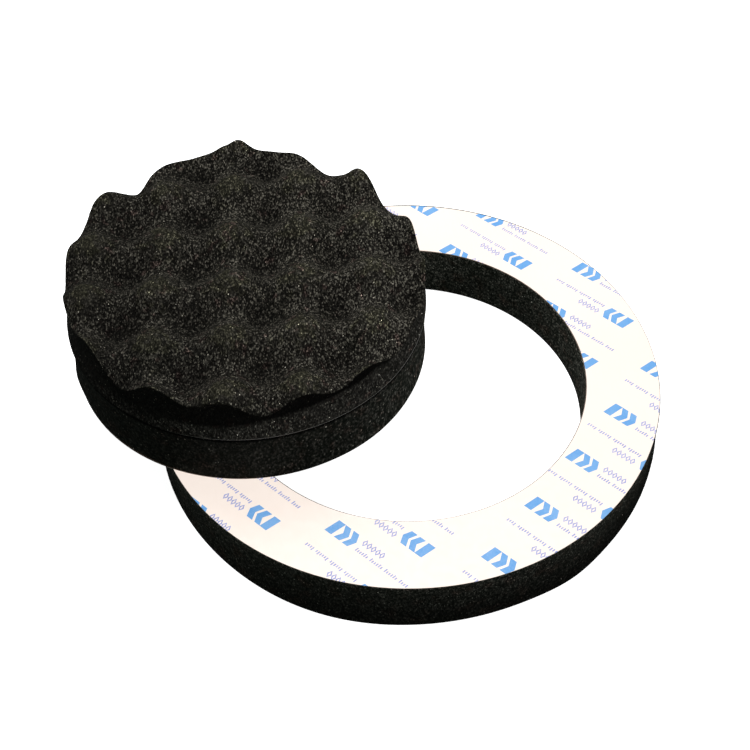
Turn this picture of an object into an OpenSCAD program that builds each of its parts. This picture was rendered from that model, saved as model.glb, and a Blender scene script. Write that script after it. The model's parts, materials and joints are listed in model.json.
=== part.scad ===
// Acoustic foam pad and ring set for a 6.5 inch loudspeaker.
// A self-adhesive foam ring lies on the table with its printed release liner upwards. The round pad
// punched out of the ring rests on the liner, across part of the hole. The pad is a flat foam disc
// with a convoluted (egg-crate) foam disc taped on top of it.
// The origin is on the ring's axis at its underside, +Z is up and +Y is away from the front.

/* [Ring] */
// Outside diameter of the foam ring
ring_od = 200; // [170:1:260]
// Width of the foam band between the outside and the hole
ring_band = 29; // [15:1:45]
// Thickness of the flat foam sheet that the ring is cut from
ring_foam_h = 23; // [10:0.5:40]
// How far the die-cut outer wall draws in at mid height
ring_waist = 0.8; // [0.2:0.1:2]

/* [Pad] */
// Pad centre from the ring's axis, to the right
pad_x = -62.1; // [-90:0.1:90]
// Pad centre from the ring's axis, to the back
pad_y = 19.8; // [-90:0.1:90]
// How much smaller the punched-out pad is than the hole it leaves, on the radius
pad_trim = 0.6; // [0:0.1:2]
// Thickness of the pad's flat foam disc
base_foam_h = 23; // [10:0.5:40]
// How far the flat disc's wall draws in at mid height
base_waist = 0.6; // [0.2:0.1:2]

/* [Convoluted foam] */
// Distance between neighbouring peaks along a row
row_pitch = 27.2; // [20:0.1:40]
// Distance between neighbouring rows of peaks
column_pitch = 27.3; // [20:0.1:40]
// Direction of the rows, from +X
row_angle = 8.65; // [-45:0.05:45]
// Direction of the columns, from +X
column_angle = 91.57; // [60:0.01:120]
// Height of the surface halfway between a peak and a valley, above the bond
wave_mid_h = 15.65; // [15:0.05:30]
// Height from a valley to a peak
wave_h = 12.33; // [2:0.01:14]
// One peak's place from the rim's centre, to the right
peak_x = -5.66; // [-20:0.01:20]
// One peak's place from the rim's centre, to the back
peak_y = -9.53; // [-20:0.01:20]
// Fall of the whole surface towards the right, per mm
surface_fall = 0.043; // [0:0.001:0.05]
// Rise of the whole surface towards the back, per mm
surface_rise = 0.013; // [0:0.001:0.03]
// How much narrower the rim is than the flat disc, on the radius
lip_inset = 0.5; // [0:0.1:3]
// How far the soft rim leans off its foot, to the right
rim_lean_x = 0.6; // [-2:0.1:2]
// How far the soft rim leans off its foot, to the back
rim_lean_y = 0.6; // [-2:0.1:2]
// How far the wall below the rim draws in
wall_waist = 2.8; // [0:0.1:4]

/* [Tape and liners] */
// Thickness of each adhesive film of the double coated tape
film_h = 0.05; // [0.03:0.005:0.1]
// Thickness of the tape's tissue carrier
tissue_h = 0.06; // [0.03:0.005:0.1]
// Thickness of the release liner
liner_h = 0.095; // [0.06:0.005:0.2]
// How far the ring's tape and liner stand back from the foam's outer edge
tape_setback = 0.25; // [0:0.05:1]
// How far the ring's liner stands back from the tape round the hole
liner_setback = 0.3; // [0.1:0.05:1]

/* [Resolution] */
// Points round the convoluted foam
wave_sides = 84; // [48:4:96]
// Rings of points from the pad centre to the rim
wave_rings = 16; // [10:1:18]
// Bands of facets down the convoluted foam's wall
wall_bands = 5; // [3:1:6]

/* [Hidden] */
$fn = 180;

ring_r = ring_od / 2;
hole_r = ring_r - ring_band;
pad_r = hole_r - pad_trim;          // the pad is the ring's punched-out middle
rim_r = pad_r - lip_inset;
pad_centre = [pad_x, pad_y, 0];
rim_lean = [rim_lean_x, rim_lean_y, 0];
cut = 1;                            // how far a cutting cylinder runs past both faces
tape_h = 2 * film_h + tissue_h;

// Bond lines, upwards from the table
ring_tape_z = ring_foam_h;
ring_liner_z = ring_tape_z + tape_h;
pad_liner_z = ring_liner_z + liner_h;
base_tape_z = pad_liner_z + liner_h;
base_foam_z = base_tape_z + tape_h;
bond_tape_z = base_foam_z + base_foam_h;
waffle_z = bond_tape_z + tape_h;

// Slight bow of the rows and columns, where the sheet stretched under the cutter
row_bow = 0.0025;
row_splay = 0.0003;
column_bow = -0.002;
column_splay = -0.0053;

// Colours
foam_black = [0.09, 0.09, 0.09];
waffle_black = [0.13, 0.13, 0.12];
liner_white = [0.99, 0.98, 0.93];
tissue_white = [0.93, 0.91, 0.86];
adhesive_clear = [0.86, 0.8, 0.66];

// Radius of the circle that draws a wall of height h in by depth at its middle
function waist_circle_r(h, depth) = (h * h / 4 + depth * depth) / (2 * depth);

// Lattice steps of a point (x, y) from the rim's centre: whole numbers in both are a peak
row_step = row_pitch * [cos(row_angle), sin(row_angle)];
column_step = column_pitch * [cos(column_angle), sin(column_angle)];
step_area = row_step.x * column_step.y - row_step.y * column_step.x;
function row_count(x, y) = ((x - peak_x) * column_step.y - (y - peak_y) * column_step.x) / step_area;
function column_count(x, y) = ((y - peak_y) * row_step.x - (x - peak_x) * row_step.y) / step_area;

// Height of the convoluted surface above the table
function surface_z(x, y) =
    let (i = row_count(x, y), j = column_count(x, y),
         along = i + row_bow * j * j + row_splay * i * j,
         across = j + column_bow * i * i + column_splay * i * j)
    waffle_z + wave_mid_h + wave_h / 4 * (cos(360 * along) + cos(360 * across))
        - surface_fall * x + surface_rise * y;

// Radius of the convoluted foam's wall, t going from 0 at the rim to 1 at the bond
function wall_r(t) = rim_r + lip_inset * t - wall_waist * 4 * t * (1 - t);

// A flat disc whose wall is drawn in at mid height
module waisted_disc(r, h, depth) {
    big_r = waist_circle_r(h, depth);
    rotate_extrude()
        difference() {
            square([r, h]);
            translate([r - depth + big_r, h / 2]) circle(r = big_r);
        }
}

// The ring's hole, cut through everything from z up by h
module ring_hole(r, z, h) {
    translate([0, 0, z - cut]) cylinder(r = r, h = h + 2 * cut);
}

// One thin layer of the ring, with a hole of radius inner_r
module ring_layer(z, h, inner_r = hole_r) {
    difference() {
        translate([0, 0, z]) cylinder(r = ring_r - tape_setback, h = h);
        ring_hole(inner_r, z, h);
    }
}

// One thin layer of the pad
module pad_layer(z, h) {
    translate(pad_centre + [0, 0, z]) cylinder(r = pad_r, h = h);
}

// Flat foam band that stands round the loudspeaker
module ring_foam() {
    color(foam_black)
        difference() {
            waisted_disc(ring_r, ring_foam_h, ring_waist);
            ring_hole(hole_r, 0, ring_foam_h);
        }
}

// Adhesive film of the ring's tape that holds to the foam
module ring_tape_foam_adhesive() {
    color(adhesive_clear) ring_layer(ring_tape_z, film_h);
}

// Tissue carrier of the ring's tape
module ring_tape_tissue() {
    color(tissue_white) ring_layer(ring_tape_z + film_h, tissue_h);
}

// Adhesive film that sticks the ring to the door panel once the liner is off
module ring_tape_outer_adhesive() {
    color(adhesive_clear) ring_layer(ring_tape_z + film_h + tissue_h, film_h);
}

// Printed paper that covers the ring's adhesive
module ring_release_liner() {
    color(liner_white) ring_layer(ring_liner_z, liner_h, hole_r + liner_setback);
}

// Paper that covers the adhesive under the pad
module pad_release_liner() {
    color(liner_white) pad_layer(pad_liner_z, liner_h);
}

// Adhesive film that sticks the pad to the door skin once its liner is off
module base_tape_outer_adhesive() {
    color(adhesive_clear) pad_layer(base_tape_z, film_h);
}

// Tissue carrier of the tape under the pad
module base_tape_tissue() {
    color(tissue_white) pad_layer(base_tape_z + film_h, tissue_h);
}

// Adhesive film of the pad's lower tape that holds to the flat foam
module base_tape_foam_adhesive() {
    color(adhesive_clear) pad_layer(base_tape_z + film_h + tissue_h, film_h);
}

// Flat foam disc, the pad's lower half
module base_foam() {
    color(foam_black)
        translate(pad_centre + [0, 0, base_foam_z]) waisted_disc(pad_r, base_foam_h, base_waist);
}

// Adhesive film between the flat foam and the bond's tissue
module bond_tape_lower_adhesive() {
    color(adhesive_clear) pad_layer(bond_tape_z, film_h);
}

// Tissue carrier of the tape between the two foams
module bond_tape_tissue() {
    color(tissue_white) pad_layer(bond_tape_z + film_h, tissue_h);
}

// Adhesive film between the bond's tissue and the convoluted foam
module bond_tape_upper_adhesive() {
    color(adhesive_clear) pad_layer(bond_tape_z + film_h + tissue_h, film_h);
}

// Convoluted foam disc: waves on top, a drawn-in wall and a flat underside
module waffle_foam() {
    n = wave_sides;
    function turn(s) = 360 * s / n;
    surface = [
        for (k = [1:wave_rings], s = [0:n - 1])
            let (r = rim_r * k / wave_rings, x = r * cos(turn(s)), y = r * sin(turn(s)))
            [x, y, surface_z(x, y)] + rim_lean
    ];
    wall = [
        for (k = [1:wall_bands], s = [0:n - 1])
            let (t = k / wall_bands, r = wall_r(t),
                 top = surface_z(rim_r * cos(turn(s)), rim_r * sin(turn(s))))
            [r * cos(turn(s)), r * sin(turn(s)), top + (waffle_z - top) * t] + rim_lean * (1 - t)
    ];
    centres = [[0, 0, surface_z(0, 0)] + rim_lean, [0, 0, waffle_z]];
    top_centre = len(surface) + len(wall);
    loops = wave_rings + wall_bands;
    fan = [for (s = [0:n - 1]) [top_centre, (s + 1) % n, s]];
    bands = [
        for (k = [0:loops - 2], s = [0:n - 1])
            let (a = k * n + s, b = k * n + (s + 1) % n)
            each [[a, b, b + n], [a, b + n, a + n]]
    ];
    floor_fan = [
        for (s = [0:n - 1])
            [top_centre + 1, (loops - 1) * n + s, (loops - 1) * n + (s + 1) % n]
    ];
    color(waffle_black)
        translate(pad_centre)
            polyhedron(points = concat(surface, wall, centres), faces = concat(fan, bands, floor_fan));
}

ring_foam();
ring_tape_foam_adhesive();
ring_tape_tissue();
ring_tape_outer_adhesive();
ring_release_liner();
pad_release_liner();
base_tape_outer_adhesive();
base_tape_tissue();
base_tape_foam_adhesive();
base_foam();
bond_tape_lower_adhesive();
bond_tape_tissue();
bond_tape_upper_adhesive();
waffle_foam();
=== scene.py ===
import json
import math

import bmesh
import bpy
import numpy as np
from mathutils import Matrix, Vector, noise


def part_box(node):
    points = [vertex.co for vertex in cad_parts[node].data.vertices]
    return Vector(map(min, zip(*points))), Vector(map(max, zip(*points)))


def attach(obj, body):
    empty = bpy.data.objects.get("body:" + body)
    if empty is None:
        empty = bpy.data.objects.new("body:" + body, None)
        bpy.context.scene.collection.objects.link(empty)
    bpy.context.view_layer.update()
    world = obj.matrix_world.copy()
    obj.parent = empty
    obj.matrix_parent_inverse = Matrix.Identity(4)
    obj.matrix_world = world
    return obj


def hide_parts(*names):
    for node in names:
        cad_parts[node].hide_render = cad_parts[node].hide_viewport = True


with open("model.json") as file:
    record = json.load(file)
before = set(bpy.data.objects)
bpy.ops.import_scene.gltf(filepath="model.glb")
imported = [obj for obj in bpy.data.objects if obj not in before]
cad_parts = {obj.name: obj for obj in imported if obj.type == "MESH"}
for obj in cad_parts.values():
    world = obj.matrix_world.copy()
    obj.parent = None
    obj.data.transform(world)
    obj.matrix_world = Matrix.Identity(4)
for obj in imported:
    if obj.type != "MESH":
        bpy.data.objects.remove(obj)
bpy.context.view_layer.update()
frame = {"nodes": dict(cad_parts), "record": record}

MM = 0.001
UP = Vector((0, 0, 1))

# Sizes and places that the CAD frame gives
ring_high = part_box("ring_foam")[1]
RING_R = ring_high.x
RING_TOP = ring_high.z
ring_bore = next(mount for mount in frame["record"]["mounts"] if mount["name"] == "ring_bore")
HOLE_R = ring_bore["dims"]["r_mm"] * MM
MID_R = (RING_R + HOLE_R) / 2
liner_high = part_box("ring_release_liner")[1]
LINER_R = liner_high.x
LINER_SETBACK = 0.3 * MM  # how far the liner stands back from the hole
LINER_HOLE_R = HOLE_R + LINER_SETBACK
pad_liner_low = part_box("pad_release_liner")[0]
base_low, base_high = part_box("base_foam")
PAD_R = (base_high.x - base_low.x) / 2
PAD_X, PAD_Y = (base_high.x + base_low.x) / 2, (base_high.y + base_low.y) / 2
WAFFLE_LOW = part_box("waffle_foam")[0].z

# Foam walls, as in the CAD source
RING_WAIST = 0.8 * MM
BASE_WAIST = 0.6 * MM
LIP_INSET = 0.5 * MM
WALL_WAIST = 2.8 * MM
RIM_R = PAD_R - LIP_INSET
RIM_LEAN = 0.6 * MM       # how far the convoluted foam's rim leans to the right, and to the back
RIM_X, RIM_Y = PAD_X + RIM_LEAN, PAD_Y + RIM_LEAN

# The convoluted surface, as in the CAD source
ROW_PITCH, ROW_ANGLE = 27.2 * MM, math.radians(8.65)
COLUMN_PITCH, COLUMN_ANGLE = 27.3 * MM, math.radians(91.57)
WAVE_MID, WAVE_H = 15.65 * MM, 12.33 * MM
PEAK_X, PEAK_Y = -5.66 * MM, -9.53 * MM
SURFACE_FALL, SURFACE_RISE = 0.043, 0.013
ROW_BOW, ROW_SPLAY = 0.0025, 0.0003
COLUMN_BOW, COLUMN_SPLAY = -0.002, -0.0053

# How the soft foams differ from the CAD's true walls
RING_LEAN = 0.7 * MM      # how far the ring's foot spreads out on the right
BACK_EDGE = 0.55 * MM     # how much further out the ring's top edge stands at the back
PAD_LEAN = 0.9 * MM       # how far the convoluted foam's rim is pressed in at its right front
LEAN_TURN = math.radians(-22)   # where round the pad that is
GROOVE = 0.3 * MM         # how far the flat foam's top edge stands back under the bond line
GROOVE_H = 1.6 * MM       # how far down that reaches
TUCK = 0.12 * MM          # how far the convoluted foam's foot covers the bond line, on average
TUCK_SWING = 0.25 * MM    # how much less it covers at BOND_SIDE, and how much more opposite
BOND_SIDE = math.radians(-35)   # where round the pad the bond line shows most, its right front
# Painted shade: the ring's outer wall is painted darker towards LIT_SIDE, where the right lamp falls.
LIT_SIDE = math.radians(-40)    # where the ring's outer wall is darkest, and grainiest at its top

# Bulges of a soft edge, each by degrees round its piece, size in mm and reach in degrees:
# the foot of the ring, which spreads out
RING_SPREADS = ((-110, 1.2, 24), (-54, 0.9, 8.5), (-3, 0.9, 12))
# the foot of the flat foam, which spreads out or draws in
FOOT_SPREADS = ((-167, 1.05, 8), (-122, -0.4, 14), (-48, 0.6, 26))
# the hand-cut rim of the convoluted foam, where it rises or falls off the regular waves
RIM_BUMPS = (
    (20.5, 3.2, 6), (41, -3.2, 4.5), (56, -1.2, 3), (85, 2.9, 5), (94, 2.0, 3), (98.5, -0.6, 2),
    (108, 1.6, 4), (118, -2.1, 5), (127, 1.0, 3), (133, -1.2, 3), (149, -1.2, 5), (157, -0.8, 3.5),
)
RIM_BAND = 0.18           # the outer share of the radius over which the rim's bumps fade in

# Foam grain
CELL = 0.56 * MM          # size of one open cell
CELL_STRETCH = (1.12, 0.69, 0.73)   # how many times closer the cells lie along each axis
PORE = 0.11 * MM          # how deep the modelled relief of the cells is
RELIEF_CELL = 1.7 * CELL  # size of the relief's smooth part
SMOOTH_RELIEF, SHARP_RELIEF = 0.6, 0.55   # shares of the relief that are smooth, and random
WANDER = 0.22 * MM        # how far a die-cut wall wanders from true
WAFFLE_WANDER, BASE_WANDER, RING_WANDER = 14 * MM, 17 * MM, 19 * MM   # and how long such a stretch is
SKIN_FADE = 0.8 * MM      # how far from a flat face a wall's relief reaches its full depth
WAFFLE_FADE = 1.5 * MM    # the same above the convoluted foam's underside
SEED = 832

# Foam meshes
WAFFLE_GRID, WALL_LOOPS, LIP_LOOPS = 208, 38, 3
WAFFLE_LIP = 0.35 * MM    # radius of the convoluted foam's upper edge
HOLLOW_SCALE = 0.42       # divides the undercut's curve, which is then 0.76 of WALL_WAIST at its deepest
BASE_GRID, BASE_ROWS = 196, 60
BASE_LIP, BASE_LIP_H = 0.3 * MM, 0.6 * MM   # how far in and up the flat foam's lower edge is rounded off
RING_AROUND, RING_WALL_ROWS, RING_FLAT_ROWS = 760, 32, 24
RING_LIP, RING_LIP_H = 0.2 * MM, 0.7 * MM   # how far in and up the ring's lower edges are rounded off

# Foam colours
FOAM_SHADE = (0.0018, 0.0028, 0.0019)     # the dark of the pores
WAFFLE_SHADE = (0.0025, 0.0025, 0.0022)
# SPARKLE is a painted highlight in the foam's colour.
SPARKLE = (0.75, 0.72, 0.66)              # the rare cell whose web faces the light
WEB_SHARE = 0.07                          # how much of the web's colour an average cell shows
WAFFLE_TONE = 0.985                       # the convoluted foam's lightness as a whole

# The liners' print
PRINT_TURN = math.radians(-42.2)
FIRST_MARK = np.array([78.5, 55.9]) * MM        # a bold mark that reads from the left
COLUMN_STEP = np.array([-17.25, -21.95]) * MM   # to the next mark down its column
ROW_STEP = np.array([38.5, -34.9]) * MM         # to the next column that reads the same way
TURNED_MARK = np.array([9.07, -27.36]) * MM     # to the mark between them that reads from the right
INK_RISE, INK_SUNK, INK_WELD = 0.02 * MM, 0.005 * MM, 0.002 * MM

# Camera and lamps
CAMERA_ELEVATION, CAMERA_ROLL = math.radians(48.75), math.radians(-1.06)
CAMERA_AIM = Vector((-12.46 * MM, 20.26 * MM, 0))
CAMERA_DISTANCE = 577.3 * MM
CAMERA_LENS = 65.98
# Name, place, aim, width and power
FOAM_LAMPS = (
    ("overhead", (-0.16, 0.38, 1.3), (0, 0, 0.02), 1.0, 22.5),
    ("right", (1.25, -0.4, 0.5), (0, 0, 0.03), 0.7, 8.5),
)
# Name, place and power, and whether the pad shades the papers from it
PAPER_LAMPS = (
    ("paper_key", (-0.3, 0.75, 1.0), 4.5, True),
    ("paper_fill", (0.02, 0.3, 1.3), 18.5, False),
)
PAPER_LIGHT = (1, 0.95, 0.92)


# ---------------------------------------------------------------- mesh helpers

def add_piece(name, points, faces, body, material):
    """A smooth mesh piece that rides on a CAD body."""
    mesh = bpy.data.meshes.new(name)
    mesh.from_pydata(np.asarray(points).tolist(), [], [list(map(int, f)) for f in faces])
    mesh.validate()
    mesh.polygons.foreach_set("use_smooth", [True] * len(mesh.polygons))
    mesh.materials.append(material)
    mesh.update()
    piece = bpy.data.objects.new(name, mesh)
    bpy.context.scene.collection.objects.link(piece)
    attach(piece, body)
    return piece


def coordinates(piece):
    co = np.zeros(len(piece.data.vertices) * 3)
    piece.data.vertices.foreach_get("co", co)
    return co.reshape(-1, 3)


def normals(piece):
    out = np.zeros(len(piece.data.vertices) * 3)
    piece.data.vertices.foreach_get("normal", out)
    return out.reshape(-1, 3)


def set_coordinates(piece, co):
    piece.data.vertices.foreach_set("co", np.ascontiguousarray(co).ravel())
    piece.data.update()


def set_attribute(piece, name, values):
    layer = piece.data.attributes.new(name, "FLOAT", "POINT")
    layer.data.foreach_set("value", np.asarray(values, np.float32))


def perlin(points, size, seed=0):
    """Smooth noise from -1 to 1 with features of that size."""
    shift = Vector((seed * 7.31, seed * 3.77, seed * 5.13))
    return np.array([noise.noise(Vector(p) / size + shift) for p in points])


def smoothstep(share):
    return share * share * (3 - 2 * share)


def roughen(piece, free, seed):
    """Gives the foam's skin its cells: relief along the normals where free is 1, none where it is 0."""
    co, out = coordinates(piece), normals(piece)
    rng = np.random.default_rng(SEED + seed)
    relief = SMOOTH_RELIEF * perlin(co, RELIEF_CELL, seed) + SHARP_RELIEF * (rng.random(len(co)) - 0.5)
    set_coordinates(piece, co + out * (relief * PORE * free)[:, None])


def loops_to_faces(loops, around, closed=False):
    """Quads between successive loops of points, and from the last back to the first if closed."""
    last = loops if closed else loops - 1
    k, s = np.meshgrid(np.arange(last), np.arange(around), indexing="ij")
    beside = (s + 1) % around
    low = k * around
    high = ((k + 1) % loops) * around
    return np.stack([low + s, low + beside, high + beside, high + s], axis=-1).reshape(-1, 4)


def disc_grid(n):
    """A unit disc in near-even quads: points, faces, and the rim's points in order round it."""
    t = np.linspace(-1, 1, n + 1)
    a, b = np.meshgrid(t, t)
    wide = abs(a) >= abs(b)
    r = np.where(wide, a, b)
    with np.errstate(divide="ignore", invalid="ignore"):
        turn = np.where(wide, math.pi / 4 * b / a, math.pi / 2 - math.pi / 4 * a / b)
    turn = np.nan_to_num(turn)
    points = np.stack([r * np.cos(turn), r * np.sin(turn)], axis=-1).reshape(-1, 2)
    i, j = np.meshgrid(np.arange(n), np.arange(n), indexing="ij")
    corner = i * (n + 1) + j
    faces = np.stack([corner, corner + 1, corner + n + 2, corner + n + 1], axis=-1).reshape(-1, 4)
    side = np.arange(n)
    last = (n + 1) * (n + 1) - 1
    rim = np.concatenate([side, side * (n + 1) + n, last - side, (n - side) * (n + 1)])
    return points, faces, rim


def shared_disc(rim_numbers, rim, points, first):
    """Point numbers of a disc grid whose rim is already there, the rest following on from first."""
    keep = np.setdiff1d(np.arange(points), rim)
    number = np.empty(points, int)
    number[rim] = rim_numbers
    number[keep] = first + np.arange(len(keep))
    return number, keep


# ------------------------------------------------------------ material helpers

class Tree:
    """Short calls for building a material's nodes."""

    def __init__(self, name):
        self.material = bpy.data.materials.new(name)
        self.material.use_nodes = True
        self.nodes = self.material.node_tree.nodes
        self.links = self.material.node_tree.links
        self.shader = self.nodes["Principled BSDF"]
        self.place = self.nodes.new("ShaderNodeTexCoord").outputs["Object"]

    def link(self, source, target):
        self.links.new(source, target)

    def shade(self, **values):
        """Sets the shader's own sockets, such as Specular_IOR_Level=0.2."""
        for name, value in values.items():
            self.shader.inputs[name.replace("_", " ")].default_value = value

    def noise(self, scale, detail=2.0, rough=0.5, vector=None, distort=0.0):
        node = self.nodes.new("ShaderNodeTexNoise")
        node.inputs["Scale"].default_value = scale
        node.inputs["Detail"].default_value = detail
        node.inputs["Roughness"].default_value = rough
        node.inputs["Distortion"].default_value = distort
        self.link(vector or self.place, node.inputs["Vector"])
        return node.outputs["Fac"]

    def cells(self, scale, feature="F1", vector=None):
        node = self.nodes.new("ShaderNodeTexVoronoi")
        node.feature = feature
        node.inputs["Scale"].default_value = scale
        self.link(vector or self.place, node.inputs["Vector"])
        return node

    def stretch(self, x, y, z):
        node = self.nodes.new("ShaderNodeMapping")
        node.inputs["Scale"].default_value = (x, y, z)
        self.link(self.place, node.inputs["Vector"])
        return node.outputs["Vector"]

    def fit(self, value, low, high, to_low=0.0, to_high=1.0):
        """value from low to high, carried smoothly to to_low and to_high."""
        node = self.nodes.new("ShaderNodeMapRange")
        node.interpolation_type = "SMOOTHSTEP"
        ends = {"From Min": low, "From Max": high, "To Min": to_low, "To Max": to_high}
        for name, number in ends.items():
            node.inputs[name].default_value = number
        self.link(value, node.inputs["Value"])
        return node.outputs["Result"]

    def maths(self, operation, a, b):
        node = self.nodes.new("ShaderNodeMath")
        node.operation = operation
        for socket, value in zip(node.inputs, (a, b)):
            if isinstance(value, (int, float)):
                socket.default_value = value
            else:
                self.link(value, socket)
        return node.outputs["Value"]

    def mix(self, share, a, b, blend="MIX"):
        """Colour a turning to b by share. Colours are tuples or sockets."""
        node = self.nodes.new("ShaderNodeMix")
        node.data_type = "RGBA"
        node.blend_type = blend
        for socket, value in ((node.inputs[0], share), (node.inputs[6], a), (node.inputs[7], b)):
            if isinstance(value, (int, float)):
                socket.default_value = value
            elif isinstance(value, tuple):
                socket.default_value = (*value, 1)
            else:
                self.link(value, socket)
        return node.outputs[2]

    def split(self, colour):
        node = self.nodes.new("ShaderNodeSeparateColor")
        self.link(colour, node.inputs["Color"])
        return node.outputs

    def attribute(self, name):
        node = self.nodes.new("ShaderNodeAttribute")
        node.attribute_name = name
        return node.outputs["Fac"]

    def scaled(self, colour, gain):
        node = self.nodes.new("ShaderNodeVectorMath")
        node.operation = "SCALE"
        self.link(colour, node.inputs[0])
        self.link(gain, node.inputs["Scale"])
        return node.outputs["Vector"]

    def bump(self, height, distance, strength=1.0, under=None):
        node = self.nodes.new("ShaderNodeBump")
        node.inputs["Distance"].default_value = distance
        node.inputs["Strength"].default_value = strength
        self.link(height, node.inputs["Height"])
        if under:
            self.link(under, node.inputs["Normal"])
        return node.outputs["Normal"]

    def done(self, colour, rough, normal):
        self.link(colour, self.shader.inputs["Base Color"])
        self.link(rough, self.shader.inputs["Roughness"])
        self.link(normal, self.shader.inputs["Normal"])
        return self.material


def crested(t, colour):
    """Colour with painted light on the crests, which are also more olive, and painted shade in the
    valleys. It is reddish in places.

    The crest attribute runs from 0 in a valley to 1 on a crest, and is -1 on the cut wall.
    """
    height = t.attribute("crest")
    # Painted shade in the valleys and painted light on the crests.
    valley = t.fit(height, 0.0, 0.4, 0.57, 1.0)
    crest = t.fit(height, 0.6, 1.0, 1.0, 1.7)
    patchy = t.maths("ADD", height, t.fit(t.noise(240, 3.0), 0.3, 0.7, -0.3, 0.3))
    olive = t.mix(t.fit(patchy, 0.65, 1.0), (1, 0.962, 0.875), (1, 0.98, 0.755))
    olive = t.mix(t.fit(height, -1.0, -0.6), (1, 0.985, 0.96), olive)
    rusty = t.fit(t.noise(200, 2.0), 0.6, 0.7, 0.0, 0.85)
    tint = t.mix(rusty, olive, (1.25, 0.92, 0.88))
    return t.scaled(t.mix(1.0, colour, tint, "MULTIPLY"), t.maths("MULTIPLY", valley, crest))


def reddened(t, colour):
    """Colour that turns a little reddish in places."""
    rusty = t.fit(t.noise(190, 2.0), 0.5, 0.72)
    return t.mix(1.0, colour, t.mix(rusty, (1, 1, 0.97), (1.18, 0.94, 0.88)), "MULTIPLY")


def foam_material(
        name, shade, web, glint, size, spread=1.0, glint_share=0.04, rare=0.9975, tinted=reddened):
    """Open-cell foam: each cell its own shade between dark pores and fine webs, and a few painted glints.

    size is that of a cell, and spread is how far the cells differ. Of all cells, glint_share are painted
    as glints, and those past rare, as a share, as sparkles. tinted gives the colour its patches, and with
    crested also the painted light and shade of the waves. The pieces' own attributes scale the spread
    (grain) and the colour (tone, which carries painted light and shade) from point to point.
    """
    t = Tree(name)
    drawn = t.stretch(*CELL_STRETCH)
    cell = t.cells(1 / size, vector=drawn)
    tone = t.split(cell.outputs["Color"])
    edge = cell.outputs["Distance"]
    grains = (
        (tone["Red"], 3.6),
        (t.noise(0.8 / size, 1.0, vector=drawn), 6.5),
        (t.noise(110, 2.0), 1.0),
    )
    own, fine, cloud = (
        t.maths("MULTIPLY", t.maths("SUBTRACT", value, 0.5), gain * spread) for value, gain in grains)
    total = t.maths("MULTIPLY", t.maths("ADD", t.maths("ADD", own, fine), cloud), t.attribute("grain"))
    share = t.maths("MULTIPLY", t.maths("EXPONENT", total, 0.0), WEB_SHARE)
    colour = t.mix(t.maths("MINIMUM", share, 1.0), shade, web)
    # Painted highlights: a few cells are painted as glints, and rarer ones as sparkles.
    painted_glint_cells = t.fit(tone["Green"], 1 - glint_share, 1.0)
    colour = t.mix(t.maths("MULTIPLY", painted_glint_cells, t.fit(edge, 0.55, 0.1)), colour, glint)
    sparkle = t.maths("MULTIPLY", t.fit(tone["Blue"], rare, rare + 0.0025), t.fit(edge, 0.4, 0.15))
    colour = t.scaled(tinted(t, t.mix(sparkle, colour, SPARKLE)), t.attribute("tone"))
    rough = t.fit(t.noise(900, 1.0), 0.3, 0.7, 0.75, 0.95)
    normal = t.bump(t.maths("ADD", total, t.maths("MULTIPLY", edge, 2.0)), 0.08 * MM, 0.8)
    t.shade(Specular_IOR_Level=0.03)
    return t.done(colour, rough, normal)


def paper_material(name, sheet, shade, rough_low, rough_high):
    """Calendered release paper: faint fibres, cloudy tone and a soft siliconed sheen."""
    t = Tree(name)
    cloud = t.fit(t.noise(22, 4.0), 0.3, 0.75)
    fibre = t.fit(t.noise(900, 5.0, 0.7, t.stretch(1, 0.25, 1), 0.6), 0.35, 0.75)
    colour = t.mix(t.maths("MULTIPLY", cloud, 0.35), sheet, shade)
    colour = t.mix(t.maths("MULTIPLY", fibre, 0.18), colour, shade)
    rough = t.fit(t.noise(300, 3.0), 0.3, 0.7, rough_low, rough_high)
    normal = t.bump(fibre, 0.02 * MM, 0.35, t.bump(t.noise(45, 2.0), 0.5 * MM, 0.12))
    t.shade(Specular_IOR_Level=0.4, Coat_Weight=0.12, Coat_Roughness=0.35)
    return t.done(colour, rough, normal)


def ink_material(name, ink, faded, mottle):
    """Flexographic ink on release paper: slightly mottled where it didn't wet the silicone."""
    t = Tree(name)
    spots = t.fit(t.noise(2600, 3.0, 0.6), 0.45, 0.72)
    bands = t.fit(t.noise(160, 2.0), 0.35, 0.7)
    share = t.maths("MULTIPLY", t.maths("ADD", spots, bands), mottle)
    rough = t.fit(t.noise(1200, 2.0), 0.3, 0.7, 0.35, 0.6)
    normal = t.bump(spots, 0.01 * MM, 0.4)
    t.shade(Specular_IOR_Level=0.35)
    return t.done(t.mix(share, ink, faded), rough, normal)


def tape_material(name, film, fibre_colour, fibre_share, gloss):
    """A film of the double coated tape: tacky adhesive with the tissue's long fibres showing through."""
    t = Tree(name)
    long_way = t.noise(500, 5.0, 0.75, t.stretch(1, 0.12, 1), 1.2)
    cross_way = t.noise(620, 5.0, 0.75, t.stretch(0.15, 1, 1), 1.2)
    fibres = t.fit(t.maths("MAXIMUM", long_way, cross_way), 0.52, 0.7)
    pools = t.fit(t.noise(120, 3.0), 0.35, 0.7)
    colour = t.mix(t.maths("MULTIPLY", fibres, fibre_share), film, fibre_colour)
    colour = t.mix(t.maths("MULTIPLY", pools, 0.25), colour, tuple(0.8 * c for c in film))
    rough = t.fit(pools, 0.0, 1.0, gloss, gloss + 0.25)
    normal = t.bump(fibres, 0.03 * MM, 0.6, t.bump(t.noise(260, 2.0), 0.1 * MM, 0.3))
    t.shade(Specular_IOR_Level=0.5, Coat_Weight=0.3, Coat_Roughness=0.2)
    return t.done(colour, rough, normal)


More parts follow.
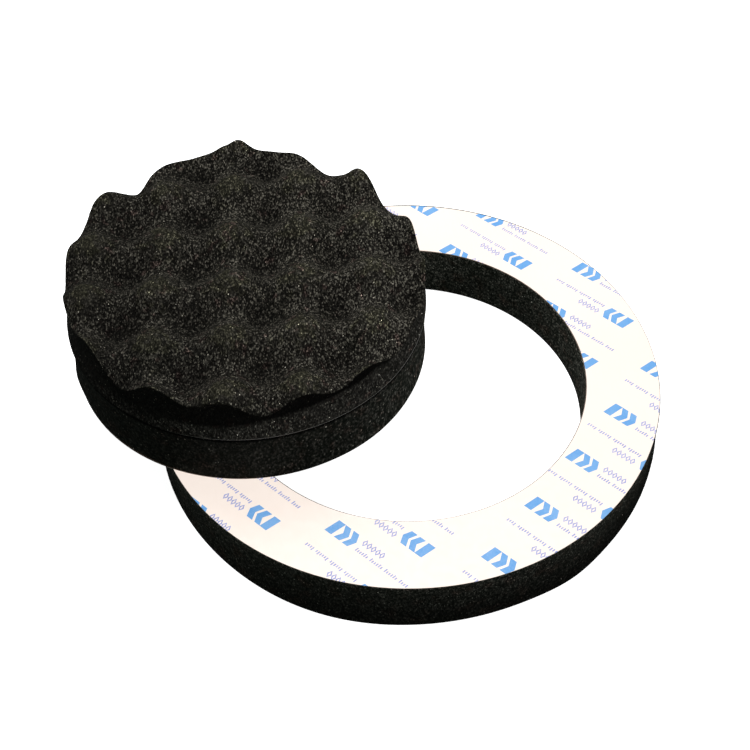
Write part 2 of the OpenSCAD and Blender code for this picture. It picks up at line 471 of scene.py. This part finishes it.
def studio_floor_material():
    t = Tree("studio_floor")
    tone = t.fit(t.noise(3, 2.0), 0.3, 0.7)
    rough = t.fit(t.noise(40, 2.0), 0.3, 0.7, 0.8, 0.95)
    t.shade(Specular_IOR_Level=0.0, Emission_Color=(1, 1, 1, 1), Emission_Strength=0.93)
    colour = t.mix(tone, (0.93, 0.93, 0.93), (0.95, 0.95, 0.95))
    return t.done(colour, rough, t.bump(tone, 0.01 * MM, 0.1))


# ------------------------------------------------------------------ foam pieces

def surface_z(x, y):
    """Height of the convoluted surface at x, y from the rim's centre."""
    row = ROW_PITCH * np.array([math.cos(ROW_ANGLE), math.sin(ROW_ANGLE)])
    column = COLUMN_PITCH * np.array([math.cos(COLUMN_ANGLE), math.sin(COLUMN_ANGLE)])
    area = row[0] * column[1] - row[1] * column[0]
    dx, dy = x - PEAK_X, y - PEAK_Y
    i = (dx * column[1] - dy * column[0]) / area
    j = (dy * row[0] - dx * row[1]) / area
    along = i + ROW_BOW * j * j + ROW_SPLAY * i * j
    across = j + COLUMN_BOW * i * i + COLUMN_SPLAY * i * j
    wave = np.cos(2 * math.pi * along) + np.cos(2 * math.pi * across)
    return WAFFLE_LOW + WAVE_MID + WAVE_H / 4 * wave - SURFACE_FALL * x + SURFACE_RISE * y


def bumps(turn, listed):
    """The sum at each turn of smooth bumps, listed as degrees, size in mm and reach in degrees."""
    total = np.zeros_like(turn)
    for degrees, height, reach in listed:
        away = (turn - math.radians(degrees) + math.pi) % (2 * math.pi) - math.pi
        total += height * MM * np.exp(-(away / math.radians(reach)) ** 2)
    return total


def cut_surface_z(x, y):
    """Height of the convoluted surface with its uneven rim."""
    near_rim = smoothstep(np.clip((np.hypot(x, y) / RIM_R - 1 + RIM_BAND) / RIM_BAND, 0, 1))
    return surface_z(x, y) + bumps(np.arctan2(y, x), RIM_BUMPS) * near_rim


def overhang(turn):
    """How far the convoluted foam's rim stands out: it is pressed in at its right front."""
    return -PAD_LEAN * np.clip(np.cos(turn - LEAN_TURN), 0, 1) ** 3


def round_the_pad(turn, degrees, values):
    """values at those degrees round the pad, and in between at every turn."""
    return np.interp(np.degrees(turn), degrees, values, period=360)


def wall_shade(above, share, turn):
    """How light the convoluted foam's wall is painted, and how far each point lies in painted shadow.

    The wall carries painted shade in the undercut below the rim, and painted light on its lower part down
    to the bond. above is the height above the bond in mm, and share runs from 0 at the rim to 1 at the bond.
    """
    # Painted light and shade round the pad: how high the lit foot reaches, its tone, and the tone in the
    # undercut's shadow.
    painted_light_h = round_the_pad(turn, (-150, -102, -87, -72, -45, 90), (2.7, 3.7, 4.2, 6.9, 7.9, 7.4))
    painted_light_tone = round_the_pad(
        turn, (-150, -120, -102, -87, -72, -58, -30, 90), (1.2, 1.9, 3.7, 4.4, 3.7, 3.2, 3.2, 2.5))
    painted_shadow_tone = round_the_pad(turn, (-150, -120, -102, -87, -60, 90), (1.6, 1.6, 1.1, 0.6, 0.3, 0.5))
    undercut = np.clip((above - painted_light_h) / 2.4, 0, 1)
    below_lip = np.clip((0.5 - share) / 0.32, 0, 1)
    dark = smoothstep(np.maximum(undercut, below_lip))
    shade = painted_light_tone + (painted_shadow_tone - painted_light_tone) * dark
    lip = np.clip(1 - share / 0.03, 0, 1)
    return np.where(share > 0, shade + (1 - shade) * lip, 1), dark


def waffle_loops(turn):
    """The convoluted foam's side, as loops of radius, height and share down the wall: lip, then wall."""
    cos, sin = np.cos(turn), np.sin(turn)
    at = np.stack([cos * PAD_R, sin * PAD_R, 0 * cos], -1)
    wander = WANDER * perlin(at, WAFFLE_WANDER, 3)
    tuck = TUCK - TUCK_SWING * np.cos(turn - BOND_SIDE) + 0.4 * TUCK * perlin(at, 3 * MM, 9)
    lean = overhang(turn)
    edge = cut_surface_z((RIM_R + lean) * cos, (RIM_R + lean) * sin)
    loops = []
    for k in range(1, LIP_LOOPS + 1):
        a = math.pi / 2 * k / LIP_LOOPS
        r = RIM_R - WAFFLE_LIP + WAFFLE_LIP * math.sin(a) + wander * math.sin(a) + lean
        loops.append((r, edge - WAFFLE_LIP * (1 - math.cos(a)), 0.0))
    start = edge - WAFFLE_LIP
    for k in range(1, WALL_LOOPS + 1):
        share = k / WALL_LOOPS
        hollow = WALL_WAIST * share ** 0.6 * (1 - share) ** 1.2 / HOLLOW_SCALE
        r = RIM_R + LIP_INSET * share - hollow + (wander + lean) * (1 - share) + tuck * share ** 3
        loops.append((r, start + (WAFFLE_LOW - start) * share, share))
    return loops


def waffle(material):
    """The convoluted foam: waved top, crisp lip, undercut wall and flat underside."""
    unit, faces, rim = disc_grid(WAFFLE_GRID)
    top = np.empty((len(unit), 3))
    top[:, :2] = unit * (RIM_R - WAFFLE_LIP)
    top[:, :2] *= 1 + overhang(np.arctan2(unit[:, 1], unit[:, 0]))[:, None] / RIM_R
    top[:, 2] = cut_surface_z(top[:, 0], top[:, 1])
    top[:, :2] += RIM_LEAN

    turn = np.arctan2(unit[rim, 1], unit[rim, 0])
    cos, sin = np.cos(turn), np.sin(turn)
    loops = waffle_loops(turn)
    wall = np.concatenate([
        np.stack([r * cos + RIM_LEAN * (1 - share), r * sin + RIM_LEAN * (1 - share), z + 0 * cos], -1)
        for r, z, share in loops
    ])
    around, first = len(rim), len(top)
    step = np.arange(around)
    link = np.stack([np.roll(rim, -1), rim, first + step, first + (step + 1) % around], -1)
    side = loops_to_faces(len(loops), around)[:, ::-1] + first
    points = np.concatenate([top, wall]) + [PAD_X, PAD_Y, 0]

    # The flat underside is one more disc of quads, which shares the wall's last loop
    last_loop = first + (len(loops) - 1) * around + step
    number, keep = shared_disc(last_loop, rim, len(unit), len(points))
    low = unit[keep] * (PAD_R - TUCK_SWING)
    floor = np.stack([low[:, 0] + PAD_X, low[:, 1] + PAD_Y, np.full(len(keep), WAFFLE_LOW)], -1)
    points = np.concatenate([points, floor])
    all_faces = np.concatenate([faces, link, side, number[faces][:, ::-1]])
    piece = add_piece("waffle_foam_disc", points, all_faces, "pad", material)
    roughen(piece, np.clip((points[:, 2] - WAFFLE_LOW) / WAFFLE_FADE, 0, 1), 1)

    wall_shares = np.repeat([share for r, z, share in loops], around)
    shade_waffle(piece, points, np.concatenate([np.zeros(first), wall_shares, np.ones(len(keep))]))
    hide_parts("waffle_foam")
    return piece


def shade_waffle(piece, points, down):
    """Sets the attributes that the convoluted foam's material reads. down is the share down the wall."""
    right, back = points[:, 0] - RIM_X, points[:, 1] - RIM_Y
    mean = WAFFLE_LOW + WAVE_MID - SURFACE_FALL * right + SURFACE_RISE * back
    crest = (points[:, 2] - mean) / WAVE_H + 0.5
    shade, dark = wall_shade((points[:, 2] - WAFFLE_LOW) / MM, down, np.arctan2(back, right))
    # Painted light: the top is painted lighter towards the right and the back.
    painted_side_light = 1 + np.where(down > 0, 0, 0.2 * right / PAD_R + 0.06 * back / PAD_R)
    top_grain = np.interp(crest, (0.55, 1.0), (1.0, 0.6))
    top_grain = top_grain * (1 + 0.1 * right / PAD_R + 0.08 * back / PAD_R)
    set_attribute(piece, "crest", np.where(down > 0, -1, crest))
    set_attribute(piece, "tone", WAFFLE_TONE * shade * painted_side_light)
    set_attribute(piece, "grain", np.where(down > 0, 0.62 - 0.3 * dark, top_grain))


def base_loops(turn):
    """The flat foam's wall as loops of points, from its foot up."""
    cos, sin = np.cos(turn), np.sin(turn)
    low, high = base_low.z, base_high.z
    loops = []
    for k in range(BASE_ROWS + 1):
        share = k / BASE_ROWS
        z = low + (high - low) * share
        foot = BASE_LIP * max(0, 1 - (z - low) / BASE_LIP_H) ** 2
        groove = GROOVE * min(1, max(0, 1 - (high - z) / GROOVE_H) * 2)
        at = np.stack([cos * PAD_R, sin * PAD_R, z + 0 * cos], -1)
        wander = WANDER * perlin(at, BASE_WANDER, 5) * math.sin(math.pi * share)
        spread = bumps(turn, FOOT_SPREADS) * (1 - share) ** 1.5
        r = PAD_R - BASE_WAIST * 4 * share * (1 - share) - foot - groove + wander + spread
        loops.append(np.stack([r * cos + PAD_X, r * sin + PAD_Y, z + 0 * cos], -1))
    return loops


def base_disc(material):
    """The pad's flat foam: die-cut wall drawn in at mid height, with a groove under the bond line."""
    unit, faces, rim = disc_grid(BASE_GRID)
    low, high = base_low.z, base_high.z
    loops = base_loops(np.arctan2(unit[rim, 1], unit[rim, 0]))
    around = len(rim)
    points = np.concatenate(loops)
    all_faces = [loops_to_faces(len(loops), around)]
    for z, loop, flip in ((low, 0, True), (high, len(loops) - 1, False)):
        number, keep = shared_disc(loop * around + np.arange(around), rim, len(unit), len(points))
        flat = unit[keep] * (PAD_R - GROOVE)
        disc = np.stack([flat[:, 0] + PAD_X, flat[:, 1] + PAD_Y, np.full(len(keep), z)], -1)
        points = np.concatenate([points, disc])
        all_faces.append(number[faces][:, ::-1] if flip else number[faces])
    all_faces = np.concatenate(all_faces)
    piece = add_piece("base_foam_disc", points, all_faces, "pad", material)
    roughen(piece, np.clip(np.minimum(points[:, 2] - low, high - points[:, 2]) / SKIN_FADE, 0, 1), 2)

    turn = np.arctan2(points[:, 1] - PAD_Y, points[:, 0] - PAD_X)
    # Painted light: the flat foam's wall is painted lighter towards the right front and darkest at the
    # front.
    painted_light_tone = round_the_pad(
        turn, (-150, -120, -102, -87, -72, -58, -40, -15, 90),
        (1.4, 1.45, 1.15, 1.15, 1.2, 1.4, 1.9, 2.0, 1.3))
    # Painted shadow: the wall is painted darker in the groove under the bond line.
    painted_groove_shadow = np.interp((high - points[:, 2]) / MM, (0, 1.2, 1.9), (0.08, 0.12, 1.0))
    set_attribute(piece, "tone", painted_groove_shadow * painted_light_tone)
    set_attribute(piece, "grain", 0.66 + np.where(np.cos(turn) > 0, 0.2, 0.16) * np.cos(turn))
    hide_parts("base_foam")
    return piece


def ring_section():
    """The ring's outline as radius and height: up the outer wall, in, down the hole's wall and out."""
    shares = np.linspace(0, 1, RING_WALL_ROWS + 1)
    outer = [(RING_R - RING_WAIST * 4 * s * (1 - s), RING_TOP * s) for s in shares]
    top = [(r, RING_TOP) for r in np.linspace(RING_R, HOLE_R, RING_FLAT_ROWS + 1)[1:-1]]
    inner = [(HOLE_R, RING_TOP * (1 - s)) for s in shares]
    under = [(r, 0.0) for r in np.linspace(HOLE_R, RING_R, RING_FLAT_ROWS + 1)[1:-1]]
    return outer + top + inner + under


def ring_loop(r, z, turn):
    """One loop of the ring's points, with the foot's edge rounded off and the walls gone a little astray."""
    cos, sin = np.cos(turn), np.sin(turn)
    from_wall = min(abs(r - RING_R), abs(r - HOLE_R))
    is_outer = r > MID_R
    edge = RING_LIP * max(0, 1 - z / RING_LIP_H) ** 2 if from_wall < MM else 0
    reach = r - edge if is_outer else r + edge
    if from_wall < 1.5 * MM and 0 < z < RING_TOP:
        at = np.stack([cos * r, sin * r, z + 0 * cos], -1)
        reach = reach + WANDER * perlin(at, RING_WANDER, 7) * math.sin(math.pi * z / RING_TOP)
    if is_outer:
        spread = RING_LEAN * np.clip(cos, 0, 1) + bumps(turn, RING_SPREADS)
        reach = reach + spread * (1 - z / RING_TOP)
        reach = reach + BACK_EDGE * np.clip(sin, 0, 1) ** 2 * (z / RING_TOP) ** 4
    return np.stack([reach * cos, reach * sin, z + 0 * cos], -1)


def ring_band(material):
    """The foam ring: die-cut walls, the outer one drawn in, with softened edges."""
    turn = np.linspace(0, 2 * math.pi, RING_AROUND, endpoint=False)
    loops = [ring_loop(r, z, turn) for r, z in ring_section()]
    points = np.concatenate(loops)
    faces = loops_to_faces(len(loops), RING_AROUND, closed=True)
    piece = add_piece("ring_foam_band", points, faces, "ring", material)
    roughen(piece, np.clip(np.minimum(points[:, 2], RING_TOP - points[:, 2]) / SKIN_FADE, 0, 1), 3)

    # Painted light and shade: the walls are painted darker towards the foot, the hole's wall lighter than
    # the outer wall, and the outer wall darker towards LIT_SIDE.
    up = points[:, 2] / RING_TOP
    inner = np.hypot(points[:, 0], points[:, 1]) < MID_R
    lit = np.clip(np.cos(np.arctan2(points[:, 1], points[:, 0]) - LIT_SIDE), 0, 1)
    lit_tone = np.interp(up, (0.1, 0.35, 0.52, 0.7, 0.9), (0.27, 0.56, 1.0, 1.1, 1.5))
    far_tone = 1.17 + 2.07 * up ** 1.5
    set_attribute(piece, "tone", np.where(inner, 2.8 + 1.75 * up, far_tone + (lit_tone - far_tone) * lit))
    set_attribute(piece, "grain", np.where(inner, 0.8, 0.62 + 0.25 * lit * up))
    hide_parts("ring_foam")
    return piece


# ------------------------------------------------------------- printed liner

def bar(x, y, length, height, slant):
    """A slanted bar with its lower left corner at x, y."""
    lean = slant * height
    return [(x, y), (x + length, y), (x + length + lean, y + height), (x + lean, y + height)]


def chevron(x, y, arm, height, reach):
    """A right-pointing chevron in two convex halves."""
    half = height / 2
    return [
        [(x, y), (x + arm, y), (x + arm + reach, y + half), (x + reach, y + half)],
        [(x + reach, y + half), (x + arm + reach, y + half), (x + arm, y + height), (x, y + height)],
    ]


def diamond(x, y, wide, tall, weight):
    """A hollow diamond round x, y, in one convex piece a side. wide and tall are half its size."""
    corners = [(1, 0), (0, 1), (-1, 0), (0, -1), (1, 0)]
    pieces = []
    for a, b in zip(corners, corners[1:]):
        pieces.append([
            (x + (wide - weight) * a[0], y + (tall - weight) * a[1]),
            (x + wide * a[0], y + tall * a[1]),
            (x + wide * b[0], y + tall * b[1]),
            (x + (wide - weight) * b[0], y + (tall - weight) * b[1]),
        ])
    return pieces


def bold_mark():
    """A generic bold mark in mm: a slanted block and two chevrons."""
    low, tall = -3.3, 6.6
    block = bar(-6.2, low, 3.2, tall, 0.2)
    return [block, *chevron(-1.7, low, 2.7, tall, 1.7), *chevron(2.2, low, 2.7, tall, 1.5)]


def fine_marks():
    """Generic small marks in mm: a row of hollow diamonds, and a long row of ticks in four groups."""
    pieces = []
    for k in range(5):
        pieces += diamond(8.95 + 2.02 * k, 1.9, 0.98, 1.65, 0.58)
    x = 8.0
    for ticks in (6, 6, 6, 4):
        for k in range(ticks):
            tall = (1.6, 1.1, 1.1, 1.3)[k % 4]
            pieces.append(bar(x, -2.8, 0.5, tall, 0.15))
            x += 1.0
        x += 0.85
    return pieces


def clip(polygon, inside):
    """The part of a convex polygon where inside(point) is positive."""
    kept = []
    for p, q in zip(polygon, polygon[1:] + polygon[:1]):
        a, b = inside(p), inside(q)
        if a > 0:
            kept.append(p)
        if a * b < 0:
            share = a / (a - b)
            kept.append((p[0] + (q[0] - p[0]) * share, p[1] + (q[1] - p[1]) * share))
    return kept if len(kept) > 2 else []


def lattice_places():
    """Every mark's place and turn over the set's whole width."""
    for row in range(-6, 4):
        for column in range(-5, 12):
            place = FIRST_MARK + column * COLUMN_STEP + row * ROW_STEP
            yield place, PRINT_TURN
            yield place + TURNED_MARK, PRINT_TURN + math.pi


def print_marks(name, shapes, limits, face_z, way, body, material):
    """Thin printed shapes on a paper face at face_z, cut off where the paper ends.

    way is 1 on a face that looks up and -1 on one that looks down.
    """
    work = bmesh.new()
    for place, turn in lattice_places():
        c, s = math.cos(turn), math.sin(turn)
        for shape in shapes:
            flat = [(place[0] + (c * x - s * y) * MM, place[1] + (s * x + c * y) * MM) for x, y in shape]
            for limit in limits:
                flat = clip(flat, limit) if flat else []
            if flat:
                work.faces.new([work.verts.new((x, y, face_z - way * INK_SUNK)) for x, y in flat])
    bmesh.ops.remove_doubles(work, verts=work.verts, dist=INK_WELD)
    bmesh.ops.dissolve_degenerate(work, edges=work.edges, dist=INK_WELD)
    lifted = bmesh.ops.extrude_face_region(work, geom=list(work.faces), use_keep_orig=True)
    moved = [v for v in lifted["geom"] if isinstance(v, bmesh.types.BMVert)]
    bmesh.ops.translate(work, verts=moved, vec=UP * way * (INK_RISE + INK_SUNK))
    bmesh.ops.recalc_face_normals(work, faces=work.faces)
    mesh = bpy.data.meshes.new(name)
    work.to_mesh(mesh)
    work.free()
    mesh.materials.append(material)
    piece = bpy.data.objects.new(name, mesh)
    bpy.context.scene.collection.objects.link(piece)
    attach(piece, body)
    return piece


def on_ring(p):
    return math.hypot(*p) - LINER_HOLE_R


def within_ring(p):
    return LINER_R - math.hypot(*p)


def on_pad(p):
    return PAD_R - math.hypot(p[0] - PAD_X, p[1] - PAD_Y)


# ------------------------------------------------------------------ the scene

def camera():
    """Looks down at the set from the front, a little rolled."""
    back = Vector((0, -math.cos(CAMERA_ELEVATION), math.sin(CAMERA_ELEVATION)))
    right = Vector((1, 0, 0))
    up = back.cross(right)
    rolled_right = math.cos(CAMERA_ROLL) * right + math.sin(CAMERA_ROLL) * up
    rolled_up = -math.sin(CAMERA_ROLL) * right + math.cos(CAMERA_ROLL) * up
    data = bpy.data.cameras.new("camera")
    data.sensor_width = 36
    data.lens = CAMERA_LENS
    data.clip_start, data.clip_end = 0.05, 20
    cam = bpy.data.objects.new("camera", data)
    cam.location = CAMERA_AIM + back * CAMERA_DISTANCE
    cam.rotation_mode = "QUATERNION"
    cam.rotation_quaternion = Matrix((rolled_right, rolled_up, back)).transposed().to_quaternion()
    bpy.context.scene.collection.objects.link(cam)
    bpy.context.scene.camera = cam


def area_light(name, place, aim, size, power, colour=(1, 1, 1)):
    data = bpy.data.lights.new(name, "AREA")
    data.shape = "DISK"
    data.size = size
    data.energy = power
    data.color = colour
    lamp = bpy.data.objects.new(name, data)
    lamp.location = place
    lamp.rotation_mode = "QUATERNION"
    lamp.rotation_quaternion = (Vector(aim) - Vector(place)).to_track_quat("-Z", "Y")
    bpy.context.scene.collection.objects.link(lamp)
    return lamp


def light_papers(pieces, floor, foam_lamps):
    """Lights the pale papers less than the black foams, as a retouched catalogue photograph does."""
    papers = bpy.data.collections.new("papers")
    others = bpy.data.collections.new("not_papers")
    for piece in pieces:
        papers.objects.link(piece)
        others.objects.link(piece)
    for entry in others.collection_objects:
        entry.light_linking.link_state = "EXCLUDE"
    for lamp in foam_lamps:
        lamp.light_linking.receiver_collection = others
    only_floor = bpy.data.collections.new("casts_no_shadow_on_papers")
    only_floor.objects.link(floor)
    for name, place, power, pad_shades in PAPER_LAMPS:
        lamp = area_light(name, place, (0, 0, 0.02), 1.0, power, PAPER_LIGHT)
        lamp.light_linking.receiver_collection = papers
        if not pad_shades:
            lamp.light_linking.blocker_collection = only_floor


def studio_floor():
    """A pale floor that lights nothing itself, so that the walls stay black."""
    half = 3.0
    corners = [(-half, -half, 0), (half, -half, 0), (half, half, 0), (-half, half, 0)]
    mesh = bpy.data.meshes.new("floor")
    mesh.from_pydata(corners, [], [(0, 1, 2, 3)])
    mesh.materials.append(studio_floor_material())
    floor = bpy.data.objects.new("floor", mesh)
    floor.location.z = -0.05 * MM
    floor.visible_diffuse = False
    floor.visible_glossy = False
    bpy.context.scene.collection.objects.link(floor)
    return floor


def studio_room():
    """A dim room all round, which shows as a pale backdrop."""
    world = bpy.data.worlds.new("room")
    bpy.context.scene.world = world
    world.use_nodes = True
    nodes, links = world.node_tree.nodes, world.node_tree.links
    room = nodes["Background"]
    room.inputs["Color"].default_value = (0.9, 1, 0.94, 1)
    room.inputs["Strength"].default_value = 0.15
    backdrop = nodes.new("ShaderNodeBackground")
    backdrop.inputs["Color"].default_value = (1, 1, 1, 1)
    backdrop.inputs["Strength"].default_value = 0.97
    path = nodes.new("ShaderNodeLightPath")
    mix = nodes.new("ShaderNodeMixShader")
    links.new(path.outputs["Is Camera Ray"], mix.inputs["Fac"])
    links.new(room.outputs["Background"], mix.inputs[1])
    links.new(backdrop.outputs["Background"], mix.inputs[2])
    links.new(mix.outputs["Shader"], nodes["World Output"].inputs["Surface"])
    bpy.context.scene.view_settings.view_transform = "Standard"


def foams():
    """The three foam pieces in their materials."""
    ring_band(foam_material(
        "ring_foam", FOAM_SHADE, web=(0.13, 0.125, 0.112), glint=(0.2, 0.2, 0.18), size=CELL))
    base_disc(foam_material(
        "pad_foam", FOAM_SHADE, web=(0.102, 0.098, 0.09), glint=(0.2, 0.19, 0.17), size=1.3 * CELL))
    waffle(foam_material(
        "waffle_foam", WAFFLE_SHADE, web=(0.115, 0.111, 0.1), glint=(0.22, 0.21, 0.18), size=0.92 * CELL,
        spread=1.25, glint_share=0.05, rare=0.9945, tinted=crested))


def paint(node, material):
    """Gives a shown CAD node its material."""
    mesh = frame["nodes"][node].data
    mesh.materials.clear()
    mesh.materials.append(material)


def tapes():
    """Materials on the shown tape layers: dark and brown on black foam, paler in the bond."""
    adhesive = tape_material("edge_adhesive", (0.085, 0.055, 0.04), (0.15, 0.105, 0.08), 0.6, 0.18)
    tissue = tape_material("edge_tissue", (0.12, 0.08, 0.06), (0.2, 0.145, 0.11), 0.8, 0.5)
    bond_adhesive = tape_material("bond_adhesive", (0.14, 0.135, 0.125), (0.24, 0.23, 0.21), 0.6, 0.25)
    bond_tissue = tape_material("bond_tissue", (0.2, 0.19, 0.18), (0.38, 0.36, 0.33), 0.8, 0.5)
    for node in frame["nodes"]:
        in_bond = node.startswith("bond")
        if "adhesive" in node:
            paint(node, bond_adhesive if in_bond else adhesive)
        if "tissue" in node:
            paint(node, bond_tissue if in_bond else tissue)


def liners_and_print():
    """The liners' paper and print. Returns all its pieces."""
    paper = paper_material("liner_paper", (0.95, 0.868, 0.815), (0.9, 0.8, 0.73), 0.38, 0.55)
    bold_ink = ink_material("bold_ink", (0.105, 0.345, 0.75), (0.23, 0.47, 0.82), 0.35)
    fine_ink = ink_material("fine_ink", (0.25, 0.31, 0.66), (0.47, 0.51, 0.78), 0.5)
    liners = ("ring_release_liner", "pad_release_liner")
    for node in liners:
        paint(node, paper)
    ring_face = (on_ring, within_ring), liner_high.z, 1, "ring_liner"
    pad_face = (on_pad,), pad_liner_low.z, -1, "pad_liner"
    prints = [
        print_marks("ring_bold_marks", bold_mark(), *ring_face, bold_ink),
        print_marks("ring_fine_marks", fine_marks(), *ring_face, fine_ink),
        print_marks("pad_bold_marks", bold_mark(), *pad_face, bold_ink),
        print_marks("pad_fine_marks", fine_marks(), *pad_face, fine_ink),
    ]
    return prints + [frame["nodes"][node] for node in liners]


camera()
floor = studio_floor()
foam_lamps = [area_light(*lamp) for lamp in FOAM_LAMPS]
studio_room()
foams()
tapes()
light_papers(liners_and_print(), floor, foam_lamps)
